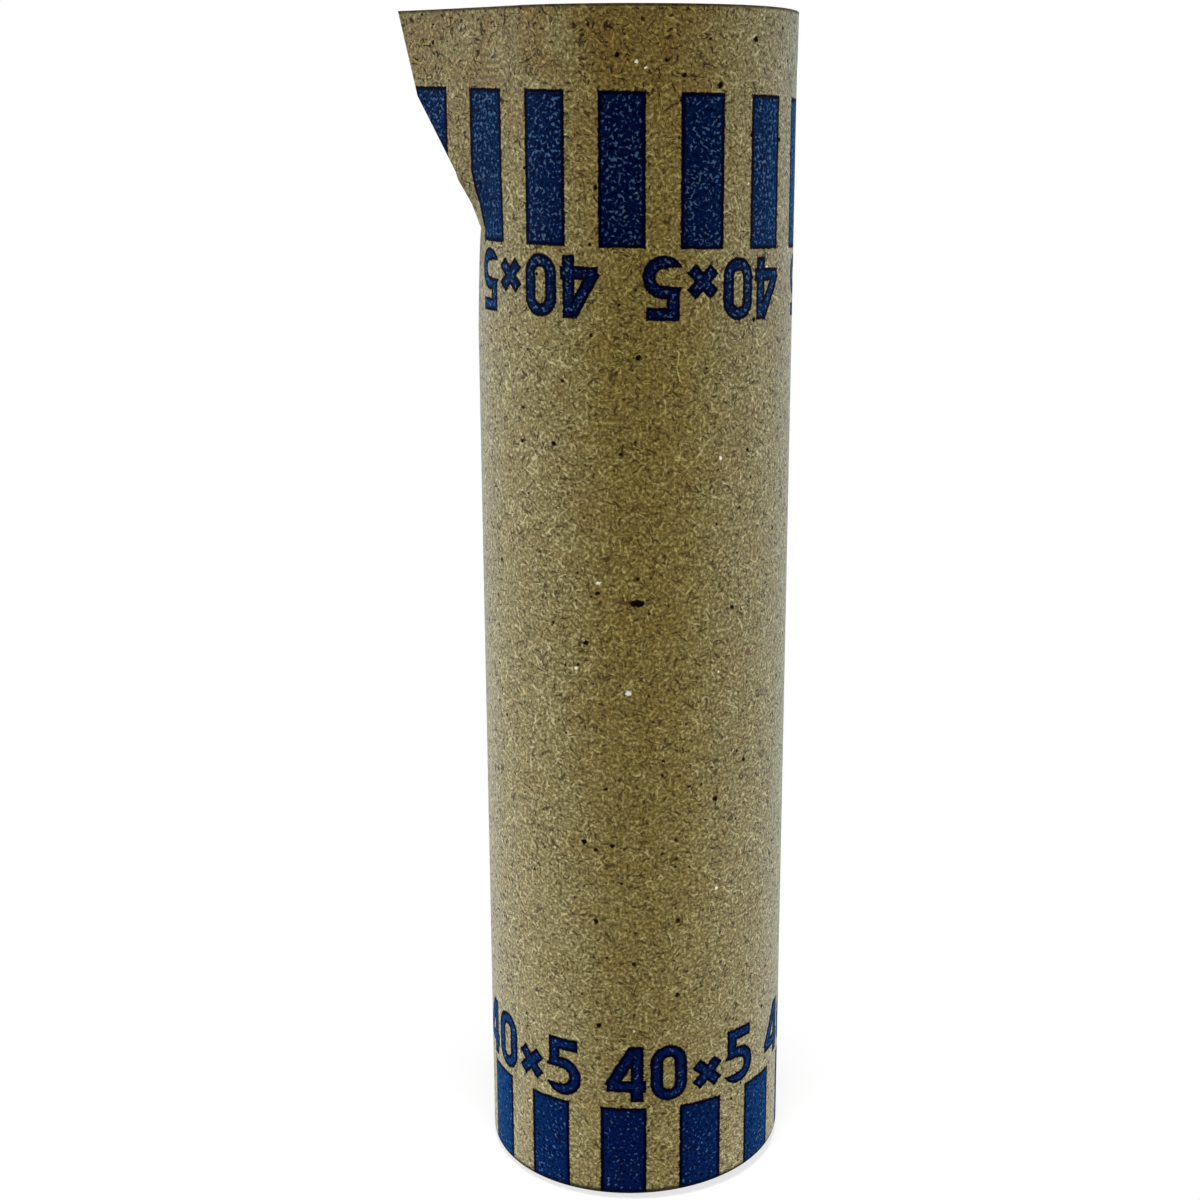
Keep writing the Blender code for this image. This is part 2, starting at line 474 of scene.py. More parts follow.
def coin_blank():
    """The disc with a raised rim on both faces and rounded edges, standing on the origin."""
    disc = add(
        bpy.ops.mesh.primitive_cylinder_add,
        vertices=COIN_SIDES,
        radius=COIN_RADIUS,
        depth=COIN_THICKNESS,
        location=(0.0, 0.0, COIN_THICKNESS / 2),
    )
    apply_place(disc)
    with editing(disc, "FACE", lambda f: abs(f.normal.z) > 0.5):
        bpy.ops.mesh.inset(thickness=COIN_RIM_WIDTH, use_individual=True)
        bpy.ops.mesh.inset(thickness=COIN_FIELD_SLOPE, depth=-COIN_FIELD_DEPTH, use_individual=True)
    verts = disc.data.vertices
    inside = COIN_RADIUS - COIN_RIM_WIDTH / 2

    def rim_edge(edge):
        first, second = (verts[k].co for k in edge.vertices)
        level = abs(first.z - second.z) < HAIR
        return level and min(first.xy.length, second.xy.length) > inside

    with editing(disc, "EDGE", rim_edge):
        bpy.ops.mesh.bevel(offset=COIN_EDGE_ROUND, segments=COIN_EDGE_STEPS)
    field = COIN_RADIUS - COIN_RIM_WIDTH - COIN_FIELD_SLOPE / 2
    dull_from, dull_to = (COIN_RADIUS - COIN_EDGE_ROUND * share for share in DULL_EDGE)

    def rubbed(point):
        return field < point.xy.length < dull_from or point.xy.length > dull_to

    mark_raised(disc, rubbed)
    return disc


def leaf_shape():
    """One leaf of the wreath: a flat spindle along x."""
    sphere = bpy.ops.mesh.primitive_uv_sphere_add
    leaf = add(sphere, segments=LEAF_SIDES, ring_count=LEAF_STEPS, radius=1.0)
    leaf.rotation_euler = (0.0, math.pi / 2, 0.0)
    apply_place(leaf)
    leaf.scale = (LEAF_LENGTH / 2, LEAF_WIDTH / 2, RELIEF)
    apply_place(leaf)
    return leaf


def bead_shape():
    bead = add(bpy.ops.mesh.primitive_ico_sphere_add, subdivisions=1, radius=1.0)
    bead.scale = (BEAD_RADIUS, BEAD_RADIUS, RELIEF)
    apply_place(bead)
    return bead


def numeral_shape():
    """The coin's value, as a low raised figure."""
    figure = add(bpy.ops.object.text_add)
    figure.data.body = "5"
    figure.data.size = NUMERAL_HEIGHT / NUMERAL_SHARE_OF_TYPE
    figure.data.offset = NUMERAL_HEIGHT * NUMERAL_BOLDER
    figure.data.extrude = RELIEF * NUMERAL_WALL
    figure.data.bevel_depth = RELIEF * NUMERAL_BEVEL
    figure.data.align_x = "CENTER"
    figure.data.align_y = "CENTER"
    figure.data.resolution_u = NUMERAL_STEPS
    bpy.ops.object.convert(target="MESH")
    return bpy.context.active_object


def spin_place(angle, radius, height, lean=0.0):
    """A place on a ring of the coin's face, turned to follow the ring and then by a lean."""
    return (
        Matrix.Rotation(angle, 4, "Z")
        @ Matrix.Translation((radius, 0.0, height))
        @ Matrix.Rotation(math.pi / 2 + lean, 4, "Z")
    )


def struck_coin():
    """One coin at the origin: numeral and wreath above, rosette below, beads on both faces."""
    disc = coin_blank()
    upper = COIN_THICKNESS - COIN_FIELD_DEPTH
    lower = COIN_FIELD_DEPTH
    leaf, bead, numeral = leaf_shape(), bead_shape(), numeral_shape()
    for part in (leaf, bead, numeral):
        mark_raised(part, lambda point: True)
    pieces = [disc]
    for k in range(BEADS):
        for height in (upper, lower):
            place = spin_place(math.tau * k / BEADS, BEAD_RING, height)
            pieces.append(copy_of(bead, "bead", place))
    foot = -math.pi / 2
    for k in range(LEAVES_PER_BRANCH):
        along = BRANCH_SPAN * (k + BRANCH_START) / LEAVES_PER_BRANCH
        for hand in (-1, 1):
            for lean in (-LEAF_LEAN, LEAF_LEAN):
                radius = LEAF_RING + math.copysign(LEAF_WIDTH * LEAF_APART, lean)
                place = spin_place(foot + hand * along, radius, upper, -hand * lean)
                pieces.append(copy_of(leaf, "leaf", place))
    for k in range(PETALS):
        place = spin_place(math.tau * k / PETALS, PETAL_RING, lower, math.pi / 2)
        longer = Matrix.Scale(PETAL_STRETCH, 4, (1.0, 0.0, 0.0))
        pieces.append(copy_of(leaf, "petal", place @ longer))
    pieces.append(copy_of(numeral, "figure", Matrix.Translation((0.0, 0.0, upper))))
    for part in (leaf, bead, numeral):
        bpy.data.objects.remove(part)
    coin = join("coin_pattern", pieces)
    smooth(coin, COIN_SMOOTH)
    return coin


def add_coins(finish):
    """A copy of the coin in the place of each CAD coin, turned on from the one below it."""
    pattern = struck_coin()
    pattern.data.materials.clear()
    pattern.data.materials.append(finish)
    for k, node in enumerate(COIN_NODES):
        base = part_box(node)[0].z
        place = Matrix.Translation((0.0, 0.0, base)) @ Matrix.Rotation(COIN_TURN * k, 4, "Z")
        coin = copy_of(pattern, "struck_" + node, place)
        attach(coin, "top_coin" if node == TOP_COIN else "column")
        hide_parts(node)
    bpy.data.objects.remove(pattern)


# Shader expressions

MIX_SHARE = 0
MIX_FIRST = 6
MIX_SECOND = 7
MIX_RESULT = 2
DOT_LEAST = 0.3
DOT_EDGE = 0.5


class Wire:
    """A shader socket. Python's operators on it add Math nodes."""

    def __init__(self, finish, socket):
        self.finish = finish
        self.socket = socket

    def math(self, operation, *terms):
        sockets = dict(enumerate(terms))
        return self.finish.node("ShaderNodeMath", {"operation": operation}, sockets)

    def __add__(self, other):
        return self.math("ADD", self, other)

    def __sub__(self, other):
        return self.math("SUBTRACT", self, other)

    def __rsub__(self, other):
        return self.math("SUBTRACT", other, self)

    def __mul__(self, other):
        return self.math("MULTIPLY", self, other)

    def __truediv__(self, other):
        return self.math("DIVIDE", self, other)

    def __mod__(self, other):
        return self.math("FLOORED_MODULO", self, other)

    def __abs__(self):
        return self.math("ABSOLUTE", self)

    def __gt__(self, other):
        return self.math("GREATER_THAN", self, other)

    def min(self, other):
        return self.math("MINIMUM", self, other)

    def max(self, other):
        return self.math("MAXIMUM", self, other)

    def root(self):
        return self.math("SQRT", self)

    def step(self, low, high):
        """A smooth step from 0 at low to 1 at high."""
        settings = {"interpolation_type": "SMOOTHSTEP"}
        sockets = {"Value": self, "From Min": low, "From Max": high}
        return self.finish.node("ShaderNodeMapRange", settings, sockets)


class Finish:
    """The nodes of a material or a world."""

    def __init__(self, owner):
        owner.use_nodes = True
        self.owner = owner
        self.tree = owner.node_tree
        self.tree.nodes.clear()

    def node(self, kind, settings, sockets, output=0):
        """Add a node: its settings first, then its sockets' values or links. Returns one output."""
        made = self.tree.nodes.new(kind)
        for key, value in settings.items():
            setattr(made, key, value)
        for key, value in sockets.items():
            socket = made.inputs[key]
            if isinstance(value, Wire):
                self.tree.links.new(value.socket, socket)
            elif socket.type == "RGBA":
                socket.default_value = (*value, 1.0)
            else:
                socket.default_value = value
        return None if output is None else Wire(self, made.outputs[output])

    def attribute(self, name, output):
        return self.node("ShaderNodeAttribute", {"attribute_name": name}, {}, output)

    def split(self, vector):
        """The x and y of a vector."""
        made = self.node("ShaderNodeSeparateXYZ", {}, {0: vector})
        outputs = made.socket.node.outputs
        return Wire(self, outputs[0]), Wire(self, outputs[1])

    def ramp(self, value, *stops):
        """A colour that runs through stops, each a value and a colour."""
        made = self.node("ShaderNodeValToRGB", {}, {0: value})
        elements = made.socket.node.color_ramp.elements
        while len(elements) < len(stops):
            elements.new(1.0)
        for element, (place, colour) in zip(elements, stops):
            element.position = place
            element.color = (*colour, 1.0)
        return made

    def mix(self, share, first, second, blend="MIX"):
        """A colour between two colours, or the first stained by the second."""
        settings = {"data_type": "RGBA", "blend_type": blend}
        sockets = {MIX_SHARE: share, MIX_FIRST: first, MIX_SECOND: second}
        return self.node("ShaderNodeMix", settings, sockets, MIX_RESULT)

    def mix_shader(self, share, first, second):
        return self.node("ShaderNodeMixShader", {}, {0: share, 1: first, 2: second})

    def noise(self, place, scale, detail=2.0, roughness=0.5, distortion=0.0):
        sockets = {
            "Vector": place,
            "Scale": scale,
            "Detail": detail,
            "Roughness": roughness,
            "Distortion": distortion,
        }
        return self.node("ShaderNodeTexNoise", {}, sockets)

    def stretched(self, place, angle, length, width):
        """Coordinates that draw a noise out into strokes at an angle."""
        sockets = {"Vector": place, "Rotation": (0.0, 0.0, angle), "Scale": (length, width, 1.0)}
        return self.node("ShaderNodeMapping", {"vector_type": "TEXTURE"}, sockets)

    def dots(self, place, spacing, radius, share):
        """Scattered dots: cells of a spacing, a share of which hold a dot of up to a radius."""
        sockets = {"Vector": place, "Scale": 1.0 / spacing}
        cells = self.node("ShaderNodeTexVoronoi", {"voronoi_dimensions": "2D"}, sockets)
        node = cells.socket.node
        chance = self.node("ShaderNodeSeparateColor", {}, {0: Wire(self, node.outputs["Color"])})
        picks = chance.socket.node.outputs
        holds = share - Wire(self, picks[0])
        size = Wire(self, picks[1]) * (1.0 - DOT_LEAST) + DOT_LEAST
        reach = size * (radius / spacing)
        inside = (reach - Wire(self, node.outputs["Distance"])) / (radius / spacing)
        return inside.step(0.0, DOT_EDGE) * (holds > 0.0)

    def strokes(self, place, angles, size, edge):
        """Short strokes of a length and width at several angles, such as fibres or scratches."""
        drawn = None
        for angle in angles:
            some = self.noise(self.stretched(place, angle, *size), 1.0, 1.0).step(*edge)
            drawn = some if drawn is None else drawn + some
        return drawn

    def strayed(self, place, scale, size):
        """Coordinates that stray by up to a size, which bends and ruffles what is drawn on them."""
        stray = self.node("ShaderNodeTexNoise", {}, {"Vector": place, "Scale": scale}, "Color")
        sockets = {0: stray, 1: (size, size, size), 2: place}
        return self.node("ShaderNodeVectorMath", {"operation": "MULTIPLY_ADD"}, sockets)

    def bump(self, height, strength, distance):
        sockets = {"Strength": strength, "Distance": distance, "Height": height}
        return self.node("ShaderNodeBump", {}, sockets)

    def shader(self, sockets):
        return self.node("ShaderNodeBsdfPrincipled", {}, sockets)

    def surface(self, shader):
        """Send a shader to the output, and return the finished material or world."""
        world = isinstance(self.owner, bpy.types.World)
        kind = "ShaderNodeOutputWorld" if world else "ShaderNodeOutputMaterial"
        self.node(kind, {}, {"Surface": shader}, None)
        return self.owner


# Print: signed distances in millimetres, negative in the ink


def bar(x, y, start, end, pen=NUMERAL_PEN):
    """Distance from a straight stroke with square ends."""
    run = Vector(end) - Vector(start)
    along = run.normalized()
    middle = (Vector(start) + Vector(end)) / 2
    off_x = x - middle.x
    off_y = y - middle.y
    lengthways = abs(off_x * along.x + off_y * along.y) - run.length / 2
    sideways = abs(off_x * -along.y + off_y * along.x) - pen / 2
    return lengthways.max(sideways)


def figure_four(x, y):
    stem = 0.7
    level = 1.3
    upright = bar(x, y, (stem, 0.0), (stem, NUMERAL_TALL))
    cross = bar(x, y, (-1.6, level), (1.4, level))
    slope = bar(x, y, (-1.35, 1.15), (0.5, 4.35))
    return upright.min(cross).min(slope)


def figure_nought(x, y):
    half = NUMERAL_TALL / 2
    round_end = 1.42
    reach_y = (abs(y - half) - (half - round_end)).max(0.0)
    reach = (x * x + reach_y * reach_y).root()
    return abs(reach - (round_end - NUMERAL_PEN / 2)) - NUMERAL_PEN / 2


def times_sign(x, y):
    arm = 0.95
    level = 1.75
    rising = bar(x, y, (-arm, level - arm), (arm, level + arm))
    falling = bar(x, y, (-arm, level + arm), (arm, level - arm))
    return rising.min(falling)


def figure_five(x, y):
    top_level = NUMERAL_TALL - NUMERAL_PEN / 2
    stem_x = -0.8
    bowl_middle = (-0.1, 1.47)
    bowl_radius = 1.08
    mouth_level = 1.45
    mouth_width = 1.3
    top = bar(x, y, (-1.05, top_level), (1.2, top_level))
    stem = bar(x, y, (stem_x, NUMERAL_TALL), (stem_x, 2.1))
    off_x = x - bowl_middle[0]
    off_y = y - bowl_middle[1]
    bowl = abs((off_x * off_x + off_y * off_y).root() - bowl_radius) - NUMERAL_PEN / 2
    mouth = bar(x, y, (-2.2, mouth_level), (-0.45, mouth_level), mouth_width)
    return top.min(stem).min(bowl.max(mouth * -1.0))


def stripe_row(u, count, width):
    """Distance from the nearest of the upright stripes around a turn."""
    pitch = TURN_MM / count
    return abs((u - STRIPE_PLACE + pitch / 2) % pitch - pitch / 2) - width / 2


def stripes(u, v):
    """A band of stripes below the rim and another that runs into the crimp."""
    low, high = UPPER_BAND
    upper_band = abs(v - (low + high) / 2) - (high - low) / 2
    upper = stripe_row(u, UPPER_STRIPES, UPPER_STRIPE_WIDTH).max(upper_band)
    lower = stripe_row(u, LOWER_STRIPES, LOWER_STRIPE_WIDTH).max(v - LOWER_BAND_TOP)
    return upper.min(lower)


def numerals(u, v):
    """Count and value in a row along each band, the upper row upside down and smaller."""
    upper = v > RIM_MM / 2
    lower = 1.0 - upper
    size = 1.0 - upper * (1.0 - UPPER_SIZE)
    rise = (v - LOWER_BAND_TOP) * lower + (UPPER_BAND[0] - v) * upper - NUMERAL_GAP
    across = (u - LOWER_NUMERALS) * lower + (UPPER_NUMERALS - u) * upper + FIRST_DIGIT
    across = across % (TURN_MM / ROWS_PER_TURN) - FIRST_DIGIT
    across = across / size
    rise = rise / size
    row = None
    for place, figure in enumerate((figure_four, figure_nought, times_sign, figure_five)):
        drawn = figure(across - DIGIT_PITCH * place, rise)
        row = drawn if row is None else row.min(drawn)
    return row


# Finishes: places and sizes on the sheet in millimetres, angles in radians

# Pulp: its colours, its grain, and the dark and light fibres in it
KRAFT_DARK = (0.030, 0.016, 0.0005)
KRAFT_MIDDLE = (0.140, 0.104, 0.017)
KRAFT_LIGHT = (0.42, 0.38, 0.20)
GRAIN_SCALE = 4.3
GRAIN_DETAIL = 2.0
GRAIN_ROUGHNESS = 0.6
GRAIN_CONTRAST = 1.60
GRAIN_LEVEL = 0.520
FIBRE_BEND_SCALE = 0.8
FIBRE_BEND = 1.0
FIBRE_EDGE = (0.63, 0.755)
DARK_FIBRE_ANGLES = (0.25, 1.25, 2.15, 2.8)
DARK_FIBRE_SIZE = (0.60, 0.21)
DARK_FIBRE_DEPTH = 0.25
LIGHT_FIBRE_ANGLES = (0.75, 1.75, 2.6)
LIGHT_FIBRE_SIZE = (1.1, 0.17)
LIGHT_FIBRE_LIFT = 0.31
BARK_SHARE = 0.50
# More dark fibres where the painted shade near the rim lies
RIM_SHADE_BARK_SHARE = 0.30
BARK_ROUGHNESS = 0.8

# Paper's surface
PAPER_ROUGHNESS = 0.86
LIGHT_PULP_SMOOTHER = 0.12
PAPER_SPECULAR = 0.1
PAPER_SHEEN = 0.35
SHEEN_ROUGHNESS = 0.5
SHEEN_TINT = (0.73, 0.87, 1.0)
PAPER_BUMP = 0.04 * MM
PAPER_BUMP_STRENGTH = 0.6
CUT_EDGE_TONES = (0.1, 0.9)

# Colours that multiply the pulp's colour: warm stain clouds, patchy painted shade near the rim on the left
# and front, and painted shade down the front, darker and warmer
CLOUD_SCALE = 0.35
CLOUD_DETAIL = 3.0
KRAFT_WARM = (1.0, 0.80, 0.45)
WARM_CLOUDS = (0.45, 0.70)
WARM_SHARE = 0.40
# Painted shade near the rim: its colour, the clouds that make it patchy, how far down it reaches, and
# where it ends towards the right
KRAFT_RIM_SHADE = (0.80, 0.68, 0.36)
RIM_SHADE_CLOUDS = (0.25, 0.60)
RIM_SHADE_DEPTH = 14.0
RIM_SHADE_END = (4.0, 7.5)
# Painted shade down the front: its colour, its middle, how far it reaches to either side, where it weakens
# towards the base, and its least share there
KRAFT_FRONT_SHADE = (1.0, 0.93, 0.60)
FRONT_SHADE_MIDDLE = 0.8
FRONT_SHADE_REACH = (2.0, 6.5)
FRONT_SHADE_FADE = (5.0, 45.0)
FRONT_SHADE_LEAST = 0.45

# Dark lines: wear rubbed dark at the rim, and painted shade at the turn of the base, where the roll stands
# on the floor
WORN_RIM_WIDTH = 0.26
WORN_RIM = (RIM_MM - WORN_RIM_WIDTH, RIM_MM - WORN_RIM_WIDTH / 3)
WORN_RIM_SHARE = 0.7
# Painted shade at the base: where the line starts and ends up the sheet, and how dark it is
BASE_SHADE_TOP = (0.455, 0.84)
BASE_SHADE_END = (-1.05, -0.35)
BASE_SHADE_SHARE = 0.85

# Scattered specks: spacing, largest radius, share of the places that hold one, and colour or strength
SPECK_DARK = (0.004, 0.002, 0.001)
SPECK_RED = (0.085, 0.032, 0.003)
SPECK_PALE = (0.75, 0.72, 0.60)
COLOURED_SPECKS = (
    (1.9, 0.19, 0.14, SPECK_RED),
    (2.1, 0.18, 0.04, SPECK_PALE),
)
DARK_SPECKS = (
    (1.0, 0.17, 0.14, 1.0),
    (2.9, 0.30, 0.16, 1.0),
    (0.7, 0.11, 0.16, 0.8),
)
RAG_SCALE = 5.0
RAG_SIZE = 0.3

# Larger flecks in the pulp: place on the sheet, length and height, and colour
FLECKS = (
    (0.10, 46.40, 1.10, 0.55, SPECK_DARK),
    (-0.75, 46.45, 1.30, 0.30, SPECK_RED),
    (-2.68, 47.05, 0.40, 0.25, SPECK_DARK),
    (-2.60, 47.75, 0.35, 0.28, SPECK_PALE),
    (7.30, 45.60, 0.34, 0.34, SPECK_DARK),
    (-3.54, 43.45, 0.42, 0.34, SPECK_DARK),
    (-0.51, 39.90, 0.45, 0.36, SPECK_PALE),
    (8.95, 42.00, 0.60, 0.50, SPECK_RED),
    (-3.76, 28.60, 0.45, 0.40, SPECK_DARK),
    (-1.71, 28.45, 0.40, 0.36, SPECK_DARK),
    (0.05, 82.40, 0.26, 0.24, SPECK_PALE),
    (0.65, 82.05, 0.28, 0.18, SPECK_PALE),
    (-1.18, 82.85, 0.38, 0.30, SPECK_DARK),
    (3.20, 81.55, 0.36, 0.32, SPECK_DARK),
)
FLECK_EDGE = (0.6, 1.4)

# Ink: its colours, the waver of its outlines, and the parts of a mark by distance from the outline
INK_DEEP = (0.0002, 0.0003, 0.006)
INK_LOWER = (0.0005, 0.0008, 0.036)
INK_UPPER = (0.0004, 0.0006, 0.022)
INK_THIN = (0.030, 0.075, 0.150)
INK_HEIGHTS = (RIM_MM * 0.3, RIM_MM * 0.7)
INK_WAVER = ((2.2, 0.14), (7.0, 0.20))
INK_EDGE = (-0.045, 0.045)
INK_BORDER = (-0.36, -0.17)
MOTTLE_SCALE = 4.2
MOTTLE_BEND = 0.5
SPREAD_MOTTLE = (0.27, 0.53)
THIN_MOTTLE = (0.62, 0.74)
UPPER_THINNER = 0.06
PATCH_SCALE = 0.45
PATCH_THINNER = 0.2
THIN_GAPS = 0.12
INK_ROUGHNESS = 0.62
INK_SPECULAR = 0.01
INK_SHEEN = 0.28
INK_SHEEN_TINT = (0.0, 0.34, 0.95)


def kraft_tone(finish, flat):
    """Light and dark of the pulp, about 0.5 on average, and where its dark fibres are."""
    noise = finish.noise(flat, GRAIN_SCALE, GRAIN_DETAIL, GRAIN_ROUGHNESS)
    grain = (noise - 0.5) * GRAIN_CONTRAST + GRAIN_LEVEL
    bent = finish.strayed(flat, FIBRE_BEND_SCALE, FIBRE_BEND)
    dark = finish.strokes(bent, DARK_FIBRE_ANGLES, DARK_FIBRE_SIZE, FIBRE_EDGE).min(1.0)
    light = finish.strokes(bent, LIGHT_FIBRE_ANGLES, LIGHT_FIBRE_SIZE, FIBRE_EDGE)
    return grain - dark * DARK_FIBRE_DEPTH + light * LIGHT_FIBRE_LIFT, dark


def stains_and_shade(finish, flat):
    """How far the warm stain clouds, the patchy painted shade near the rim and the painted shade on the
    front cover the pulp.
    """
    across, up = finish.split(flat)
    clouds = finish.noise(flat, CLOUD_SCALE, CLOUD_DETAIL)
    warm = clouds.step(*WARM_CLOUDS) * WARM_SHARE
    # Painted shade: the top of the sheet, on the left and front, darkened in patches
    near_rim = up.step(RIM_MM - RIM_SHADE_DEPTH, RIM_MM) * (1.0 - across.step(*RIM_SHADE_END))
    rim_shade = near_rim * clouds.step(*RIM_SHADE_CLOUDS)
    # Painted shade: a darker, warmer strip down the front, weaker towards the base
    front = 1.0 - abs(across - FRONT_SHADE_MIDDLE).step(*FRONT_SHADE_REACH)
    front = front * (up.step(*FRONT_SHADE_FADE) * (1.0 - FRONT_SHADE_LEAST) + FRONT_SHADE_LEAST)
    return warm, rim_shade, front


def rim_wear_and_base_shade(finish, flat):
    """Where the sheet is dark: a thin line of wear at the rim, and a line of painted shade at the turn of
    the base.
    """
    up = finish.split(flat)[1]
    rim = up.step(*WORN_RIM) * WORN_RIM_SHARE
    # Painted shade: a dark line along the turn of the base, where the roll stands on the floor
    base = (1.0 - up.step(*BASE_SHADE_TOP)) * up.step(*BASE_SHADE_END)
    return rim.max(base * BASE_SHADE_SHARE)


def speckled(finish, flat, colour):
    """A colour with red and pale specks and flecks added, and where the dark ones are."""
    ragged = finish.strayed(flat, RAG_SCALE, RAG_SIZE)
    for spacing, radius, share, speck in COLOURED_SPECKS:
        colour = finish.mix(finish.dots(ragged, spacing, radius, share), colour, speck)
    dark = None
    for spacing, radius, share, strength in DARK_SPECKS:
        dots = finish.dots(ragged, spacing, radius, share) * strength
        dark = dots if dark is None else dark.max(dots)
    u, v = finish.split(ragged)
    for across, up, length, height, speck in FLECKS:
        off_u = (u - (across + RAG_SIZE / 2)) / (length / 2)
        off_v = (v - (up + RAG_SIZE / 2)) / (height / 2)
        inside = 1.0 - (off_u * off_u + off_v * off_v).step(*FLECK_EDGE)
        if speck is SPECK_DARK:
            dark = dark.max(inside)
        else:
            colour = finish.mix(inside, colour, speck)
    return colour, dark


def paper_bump(finish, tone):
    return finish.bump(tone, PAPER_BUMP_STRENGTH, PAPER_BUMP)


def paper_shader(finish, colour, tone):
    """Paper: matt, with a pale sheen from its loose fibres."""
    return finish.shader(
        {
            "Base Color": colour,
            "Roughness": PAPER_ROUGHNESS - tone * LIGHT_PULP_SMOOTHER,
            "Specular IOR Level": PAPER_SPECULAR,
            "Sheen Weight": PAPER_SHEEN,
            "Sheen Roughness": SHEEN_ROUGHNESS,
            "Sheen Tint": SHEEN_TINT,
            "Normal": paper_bump(finish, tone),
        }
    )


def kraft_shader(finish, flat, tone, dark_fibres, wear_and_shade):
    """Stained and speckled kraft paper, with painted shade near the rim, on the front and at the base. Its
    specks, dark fibres, rim wear and the painted shade line at the base are matt, without sheen.
    """
    colour = finish.ramp(tone, (0.0, KRAFT_DARK), (0.5, KRAFT_MIDDLE), (1.0, KRAFT_LIGHT))
    warm, rim_shade, front = stains_and_shade(finish, flat)
    for share, tint in ((warm, KRAFT_WARM), (rim_shade, KRAFT_RIM_SHADE), (front, KRAFT_FRONT_SHADE)):
        colour = finish.mix(share, colour, tint, "MULTIPLY")
    colour, dark = speckled(finish, flat, colour)
    # Dark fibres show more in the painted shade near the rim; the rim wear and the painted shade line at
    # the base take the matt dark shader
    dark = dark.max(dark_fibres * (rim_shade * RIM_SHADE_BARK_SHARE + BARK_SHARE)).max(wear_and_shade)
    bark = finish.shader(
        {
            "Base Color": SPECK_DARK,
            "Roughness": BARK_ROUGHNESS,
            "Specular IOR Level": 0.0,
        }
    )
    return finish.mix_shader(dark, paper_shader(finish, colour, tone), bark)


def blue_ink(finish, flat, tone, wear_and_shade):
    """Where the print covers the sheet, and its ink: full at a mark's edges, thin and speckled inside."""
    u, v = finish.split(flat)
    v = v + u * (v > RIM_MM / 2) * UPPER_SLANT
    marks = stripes(u, v).min(numerals(u, v))
    for scale, width in INK_WAVER:
        marks = marks + (finish.noise(flat, scale) - 0.5) * width
    inner = 1.0 - marks.step(*INK_BORDER)
    upper = v.step(*INK_HEIGHTS)
    mottle = finish.noise(flat, MOTTLE_SCALE, 1.0, 0.5, MOTTLE_BEND)
    patch = finish.noise(flat, PATCH_SCALE) - 0.5
    thinness = mottle + patch * PATCH_THINNER + upper * UPPER_THINNER
    thin = thinness.step(*THIN_MOTTLE) * inner
    blue = finish.mix(upper, INK_LOWER, INK_UPPER)
    blue = finish.mix(thin, blue, INK_THIN)
    full_ink = finish.shader(
        {
            "Base Color": INK_DEEP,
            "Roughness": INK_ROUGHNESS,
            "Specular IOR Level": INK_SPECULAR,
        }
    )
    inner_ink = finish.shader(
        {
            "Base Color": blue,
            "Roughness": INK_ROUGHNESS,
            "Specular IOR Level": INK_SPECULAR,
            "Sheen Weight": INK_SHEEN,
            "Sheen Roughness": SHEEN_ROUGHNESS,
            "Sheen Tint": INK_SHEEN_TINT,
            "Normal": paper_bump(finish, tone),
        }
    )
    # Rim wear and the painted shade line at the base turn the ink full and dark there
    spread = inner * mottle.step(*SPREAD_MOTTLE) * (1.0 - wear_and_shade)
    cover = (1.0 - marks.step(*INK_EDGE)) * (1.0 - thin * THIN_GAPS)
    return cover, finish.mix_shader(spread, full_ink, inner_ink)


def printed_kraft():
    """The outside of the sheet: kraft with blue ink."""
    finish = Finish(bpy.data.materials.new("printed_kraft"))
    flat = finish.attribute("flat", "Vector")
    tone, dark_fibres = kraft_tone(finish, flat)
    wear_and_shade = rim_wear_and_base_shade(finish, flat)
    kraft = kraft_shader(finish, flat, tone, dark_fibres, wear_and_shade)
    cover, ink = blue_ink(finish, flat, tone, wear_and_shade)
    return finish.surface(finish.mix_shader(cover, kraft, ink))


def plain_kraft():
    """The unprinted back of the sheet."""
    finish = Finish(bpy.data.materials.new("plain_kraft"))
    flat = finish.attribute("flat", "Vector")
    tone, dark_fibres = kraft_tone(finish, flat)
    wear_and_shade = rim_wear_and_base_shade(finish, flat)
    return finish.surface(kraft_shader(finish, flat, tone, dark_fibres, wear_and_shade))


def cut_kraft():
    """The raw cut edges, darker and loose in the fibre."""
    finish = Finish(bpy.data.materials.new("cut_kraft"))
    flat = finish.attribute("flat", "Vector")
    tone = kraft_tone(finish, flat)[0]
    low, high = CUT_EDGE_TONES
    colour = finish.ramp(tone, (low, KRAFT_DARK), (high, KRAFT_MIDDLE))
    return finish.surface(paper_shader(finish, colour, tone))


# Coin metal: its colours, then the size, strength and height of tarnish, pits and scratches
COIN_BRIGHT = (0.40, 0.385, 0.355)
COIN_FIELD = (0.27, 0.26, 0.235)
COIN_TARNISH = (0.12, 0.105, 0.085)
TARNISH_SCALE = 0.45
TARNISH_DETAIL = 4.0
TARNISH_ROUGHNESS = 0.6
TARNISH_CLOUDS = (0.5, 0.75)
TARNISH_SHARE = 0.35
PIT_SCALE = 6.0
PIT_HEIGHT = 0.4
SCRATCH_ANGLES = (0.3, 1.2, 2.3)
SCRATCH_SIZE = (5.0, 0.05)
SCRATCH_EDGE = (0.66, 0.72)
SCRATCH_DEPTH = 0.5
COIN_ROUGHNESS = 0.34
RAISED_SMOOTHER = 0.08
TARNISH_ROUGHER = 0.2
SCRATCH_ROUGHER = 0.12
COIN_BUMP = 0.02 * MM
COIN_BUMP_STRENGTH = 0.25


